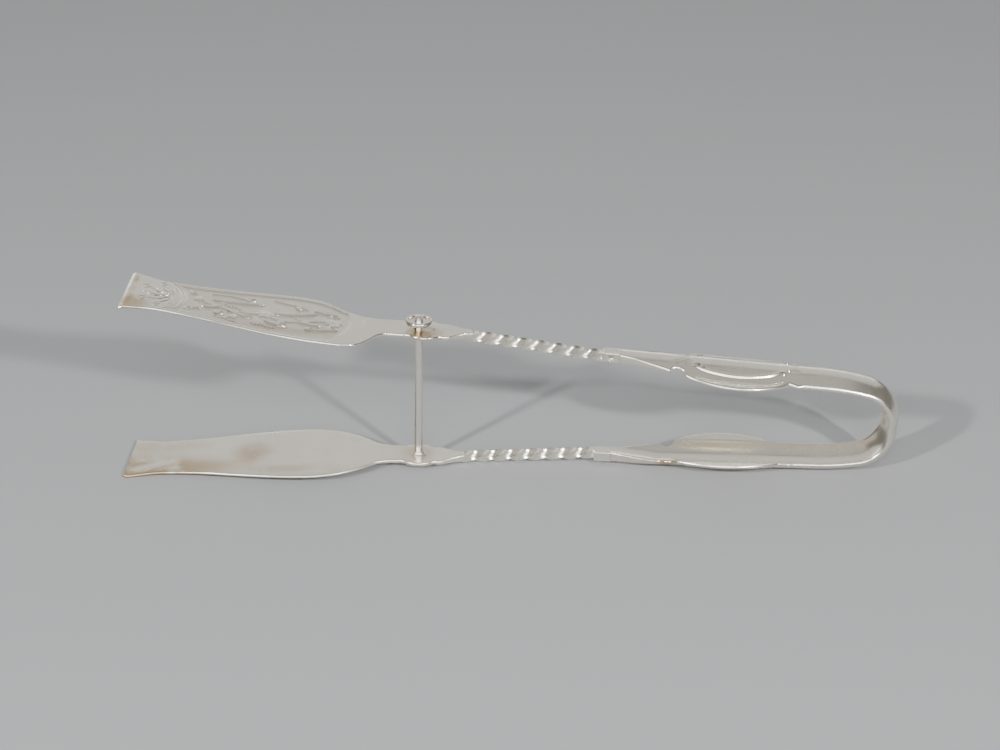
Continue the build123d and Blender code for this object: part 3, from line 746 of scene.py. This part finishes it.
class Nodes:
    """Short names for the shader nodes that the silver finishes are made from."""

    def __init__(self, name):
        self.material = bpy.data.materials.new(name)
        self.material.use_nodes = True
        self.tree = self.material.node_tree
        self.shader = self.tree.nodes["Principled BSDF"]
        self.coords = self.tree.nodes.new("ShaderNodeTexCoord").outputs["Object"]

    def link(self, source, target):
        if isinstance(source, (int, float)):
            target.default_value = source
        else:
            self.tree.links.new(source, target)

    def noise(self, scale, detail=4.0, rough=0.55, stretch=(1, 1, 1), distort=0.0):
        mapping = self.tree.nodes.new("ShaderNodeMapping")
        mapping.inputs["Scale"].default_value = stretch
        self.tree.links.new(self.coords, mapping.inputs["Vector"])
        node = self.tree.nodes.new("ShaderNodeTexNoise")
        node.inputs["Scale"].default_value = scale
        node.inputs["Detail"].default_value = detail
        node.inputs["Roughness"].default_value = rough
        node.inputs["Distortion"].default_value = distort
        self.tree.links.new(mapping.outputs["Vector"], node.inputs["Vector"])
        return node.outputs["Fac"]

    def dots(self, scale):
        node = self.tree.nodes.new("ShaderNodeTexVoronoi")
        node.inputs["Scale"].default_value = scale
        self.tree.links.new(self.coords, node.inputs["Vector"])
        return node.outputs["Distance"]

    def remap(self, value, low, high, new_low=0.0, new_high=1.0):
        node = self.tree.nodes.new("ShaderNodeMapRange")
        node.interpolation_type = "SMOOTHSTEP"
        self.link(value, node.inputs["Value"])
        limits = {"From Min": low, "From Max": high, "To Min": new_low, "To Max": new_high}
        for key, number in limits.items():
            node.inputs[key].default_value = number
        return node.outputs["Result"]

    def math(self, operation, a, b=0.0):
        node = self.tree.nodes.new("ShaderNodeMath")
        node.operation = operation
        self.link(a, node.inputs[0])
        self.link(b, node.inputs[1])
        return node.outputs["Value"]

    def mix(self, factor, a, b):
        node = self.tree.nodes.new("ShaderNodeMix")
        node.data_type = "RGBA"
        self.link(factor, node.inputs["Factor"])
        for value, socket in ((a, node.inputs["A"]), (b, node.inputs["B"])):
            if isinstance(value, tuple):
                socket.default_value = (*value, 1)
            else:
                self.tree.links.new(value, socket)
        return node.outputs["Result"]

    def attribute(self, name):
        node = self.tree.nodes.new("ShaderNodeAttribute")
        node.attribute_name = name
        return node.outputs["Fac"]

    def spot(self, centre, reach):
        """1 at a place on the object, falling to 0 at an ellipsoid's edge."""
        mapping = self.tree.nodes.new("ShaderNodeMapping")
        mapping.inputs["Location"].default_value = [-c / r for c, r in zip(centre, reach)]
        mapping.inputs["Scale"].default_value = [1 / r for r in reach]
        self.tree.links.new(self.coords, mapping.inputs["Vector"])
        length = self.tree.nodes.new("ShaderNodeVectorMath")
        length.operation = "LENGTH"
        self.tree.links.new(mapping.outputs["Vector"], length.inputs[0])
        return self.remap(length.outputs["Value"], 1.0, 0.2)

    def bump(self, height, distance, strength=1.0, normal=None):
        node = self.tree.nodes.new("ShaderNodeBump")
        node.inputs["Distance"].default_value = distance
        node.inputs["Strength"].default_value = strength
        self.tree.links.new(height, node.inputs["Height"])
        if normal is not None:
            self.tree.links.new(normal, node.inputs["Normal"])
        return node.outputs["Normal"]


SILVER = (0.97, 0.915, 0.79)
SILVER_COOL = (0.90, 0.86, 0.76)
# Tarnish brown, also used for the stop nut's painted reflection on the upper boss.
TARNISH_AND_REFLECTION = (0.55, 0.40, 0.22)
SILVER_BRIGHT = (0.97, 0.94, 0.87)
# Near black, used for painted shade in recesses and in the block's dimple.
PAINTED_SHADE = (0.11, 0.095, 0.07)
# How strongly the block's dimple is painted with shade.
PIT_SHADE_STRENGTH = 0.97
RECESS, GROUND = (-0.04, -0.22), (-0.12, -0.2)         # relief heights (mm) where the painted shade and the dots fade in
RECESS_ROUGHNESS = 0.12
SCRATCH_DEPTH, STIPPLE_DEPTH = 0.00001, 0.00006


def silver(name, roughness, tarnish=0.12, stain_and_reflection_spots=(), painted_shade_pits=(), relief=0.0, base=SILVER, stipple=False):
    """Old silver: cloudy colour, fine scratches, tarnish in patches, and painted shade in recesses.

    The spots (centre, reach, strength) are tinted tarnish brown: stains, and on the upper blade a painted
    reflection of the stop nut. The pits (centre, reach) are painted near black as shade, in metres.
    relief is how strongly recesses are painted with shade, and stipple punches the sunken ground with fine
    dots."""
    n = Nodes(name)
    cloud = n.noise(38, 5, 0.6)
    colour = n.mix(n.remap(cloud, 0.35, 0.68), base, SILVER_COOL)
    film = n.remap(n.noise(90, 6, 0.65, distort=0.6), 0.52, 0.75, 0.0, tarnish)
    colour = n.mix(film, colour, TARNISH_AND_REFLECTION)
    # Tarnish stains, and painted reflections such as the stop nut's on the upper boss, in tarnish brown.
    for centre, reach, strength in stain_and_reflection_spots:
        ragged = n.remap(n.noise(85, 5, 0.6, distort=0.4), 0.3, 0.52)
        patch = n.math("MULTIPLY", n.spot(centre, reach), ragged)
        colour = n.mix(n.math("MULTIPLY", patch, strength), colour, TARNISH_AND_REFLECTION)
    # Painted shade: each listed hollow, such as the block's dimple, is painted near black.
    for centre, reach in painted_shade_pits:
        colour = n.mix(n.math("MULTIPLY", n.spot(centre, reach), PIT_SHADE_STRENGTH), colour, PAINTED_SHADE)
    rough = n.remap(n.noise(140, 5, 0.6), 0.3, 0.75, roughness * 0.8, roughness * 1.25)
    # Painted shade: the sunken relief is darkened towards near black, and is also made rougher.
    if relief:
        low = n.remap(n.attribute("relief"), *RECESS)
        colour = n.mix(n.math("MULTIPLY", low, relief), colour, PAINTED_SHADE)
        rough = n.math("ADD", rough, n.math("MULTIPLY", low, RECESS_ROUGHNESS))
    n.link(colour, n.shader.inputs["Base Color"])
    n.link(rough, n.shader.inputs["Roughness"])
    n.shader.inputs["Metallic"].default_value = 1.0
    scratch = n.noise(1500, 2, 0.5, stretch=(0.12, 1, 1))
    grain = n.math("MULTIPLY", n.noise(420, 3, 0.6), 0.8)
    normal = n.bump(n.math("ADD", scratch, grain), SCRATCH_DEPTH, 0.5)
    if stipple:
        sunken = n.remap(n.attribute("relief"), *GROUND)
        dots = n.math("MULTIPLY", n.remap(n.dots(2300), 0.0, 0.5), sunken)
        normal = n.bump(dots, STIPPLE_DEPTH, 0.7, normal)
    n.link(normal, n.shader.inputs["Normal"])
    return n.material


def spot_at(arm, u, y, z):
    """A place on an arm, as the materials' coordinates give it."""
    return tuple(float(v) for v in place(arm, (u, y, z)))


LOWER_BLADE_STAINS = [(spot_at("lower", 0, -7, -24), (0.034, 0.011, 0.02), 0.95),
                      (spot_at("lower", 12, -7, -23), (0.030, 0.006, 0.02), 0.6),
                      (spot_at("lower", 8, 6, -24), (0.018, 0.006, 0.02), 0.35),
                      (spot_at("lower", 33, 0, -21.5), (0.0075, 0.008, 0.02), 0.65),
                      (spot_at("lower", 41, -9, -21), (0.012, 0.003, 0.02), 0.4),
                      (spot_at("lower", BOSS, 0, -18), (0.0065, 0.0065, 0.004), 0.5)]
# Tarnish stains; the last one, on the boss under the stop nut, is the nut's painted reflection.
UPPER_BLADE_STAINS_AND_NUT_REFLECTION = [(spot_at("upper", 1.9, 0, -25), (0.0013, 0.014, 0.01), 1.0),
                      (spot_at("upper", 2.5, 7, -25), (0.007, 0.006, 0.01), 0.75),
                      (spot_at("upper", 40, 8.6, -21), (0.02, 0.003, 0.01), 0.4),
                      (spot_at("upper", BOSS, 2, -19), (0.0065, 0.0055, 0.004), 0.7)]
LOWER_HANDLE_STAINS = [(spot_at("lower", 143, -4, -13), (0.004, 0.004, 0.006), 0.8)]
DIMPLE_PLACE = ((BLOCK_START + BLOCK_END) / 2, BLOCK_WIDTH / 2, -BLOCK_GAP)
# The block's dimple, painted near black as shade.
DIMPLE_PAINTED_SHADE = [(spot_at("upper", *DIMPLE_PLACE), (0.0011, 0.0011, 0.0011))]

# relief sets how strongly each piece's recesses are painted with shade.
finishes = {
    "lower_blade": silver("blade_silver", 0.34, 0.2, LOWER_BLADE_STAINS, relief=0.12, stipple=True),
    "upper_blade": silver("engraved_silver", 0.22, 0.16, UPPER_BLADE_STAINS_AND_NUT_REFLECTION, relief=0.14, stipple=True),
    "bar": silver("bar_silver", 0.28, 0.1, painted_shade_pits=DIMPLE_PAINTED_SHADE),
    "lower_handle": silver("handle_silver", 0.26, 0.14, LOWER_HANDLE_STAINS, relief=0.3),
    "upper_handle": silver("chased_silver", 0.24, 0.14, relief=0.3),
    "bow": silver("bow_silver", 0.25, 0.14),
    "rod": silver("rod_silver", 0.22, 0.08, base=SILVER_BRIGHT),
    "foot": silver("solder_silver", 0.42, 0.8),
    "nut": silver("nut_silver", 0.2, 0.3),
}


def dress(obj, material):
    """Gives a piece one material."""
    obj.data.materials.clear()
    obj.data.materials.append(material)


for arm in ARMS:
    dress(blades[arm], finishes[arm + "_blade"])
    dress(handles[arm], finishes[arm + "_handle"])
    dress(beads[arm], finishes[arm + "_handle"])
    dress(bars[arm], finishes["bar"])
dress(bow, finishes["bow"])
dress(nodes["guide_rod"], finishes["rod"])
dress(nodes["rod_foot"], finishes["foot"])
dress(nodes["stop_nut"], finishes["nut"])

# ---- Stage, light and camera -----------------------------------------------------------------
FLOOR_HALF = 4
FLOOR_COLOUR, FLOOR_ROUGHNESS = (0.385, 0.391, 0.401, 1), 0.9
ROOM_COLOUR, ROOM_STRENGTH = (1.0, 0.99, 0.97, 1), 0.16

floor_mesh = bpy.data.meshes.new("floor")
corners = [(-FLOOR_HALF, -FLOOR_HALF, 0), (FLOOR_HALF, -FLOOR_HALF, 0),
           (FLOOR_HALF, FLOOR_HALF, 0), (-FLOOR_HALF, FLOOR_HALF, 0)]
floor_mesh.from_pydata(corners, [], [(0, 1, 2, 3)])
floor = bpy.data.objects.new("floor", floor_mesh)
bpy.context.scene.collection.objects.link(floor)
paper = bpy.data.materials.new("floor_paper")
paper.use_nodes = True
paper_shader = paper.node_tree.nodes["Principled BSDF"]
paper_shader.inputs["Base Color"].default_value = FLOOR_COLOUR
paper_shader.inputs["Roughness"].default_value = FLOOR_ROUGHNESS
floor_mesh.materials.append(paper)

world = bpy.data.worlds.new("studio")
bpy.context.scene.world = world
world.use_nodes = True
background = world.node_tree.nodes["Background"]
background.inputs["Color"].default_value = ROOM_COLOUR
background.inputs["Strength"].default_value = ROOM_STRENGTH


def softbox(name, location, width, height, radiance):
    """An area light that faces the middle of the tongs, as bright as the radiance it sends out."""
    data = bpy.data.lights.new(name, "AREA")
    data.shape, data.size, data.size_y = "RECTANGLE", width, height
    data.energy = radiance * width * height * math.pi
    lamp = bpy.data.objects.new(name, data)
    bpy.context.scene.collection.objects.link(lamp)
    lamp.location = location
    lamp.rotation_euler = (-Vector(location)).to_track_quat("-Z", "Y").to_euler()


# Name, place, width, height and radiance.
SOFTBOXES = [("light_left", (-0.66, -0.76, 0.58), 0.065, 0.065, 730.0),
             ("light_right", (0.59, -0.81, 0.58), 0.065, 0.065, 730.0),
             ("light_front", (0, -1.15, 0.62), 0.7, 0.9, 4.8),
             ("light_back", (0, 1.25, 0.85), 2.6, 1.1, 0.56),
             ("light_low", (0, 1.7, 0.36), 1.9, 0.17, 2.6),
             ("light_top", (0, 0.15, 1.4), 1.6, 1.3, 0.34)]
for light in SOFTBOXES:
    softbox(*light)

CAMERA_PLACE = Vector((7.64, -468.59, 256.54)) * MM
CAMERA_LOOK = Vector((-0.019679, 0.897073, -0.441444))
CAMERA_UP = Vector((-0.004614, 0.441443, 0.897277))
LENS, SENSOR_WIDTH = 71.93, 36.0
camera_data = bpy.data.cameras.new("camera")
camera_data.sensor_width, camera_data.lens = SENSOR_WIDTH, LENS
camera = bpy.data.objects.new("camera", camera_data)
bpy.context.scene.collection.objects.link(camera)
look = CAMERA_LOOK.normalized()
right = look.cross(CAMERA_UP).normalized()
facing = Matrix((right, right.cross(look), -look)).transposed().to_4x4()
camera.matrix_world = Matrix.Translation(CAMERA_PLACE) @ facing
bpy.context.scene.camera = camera
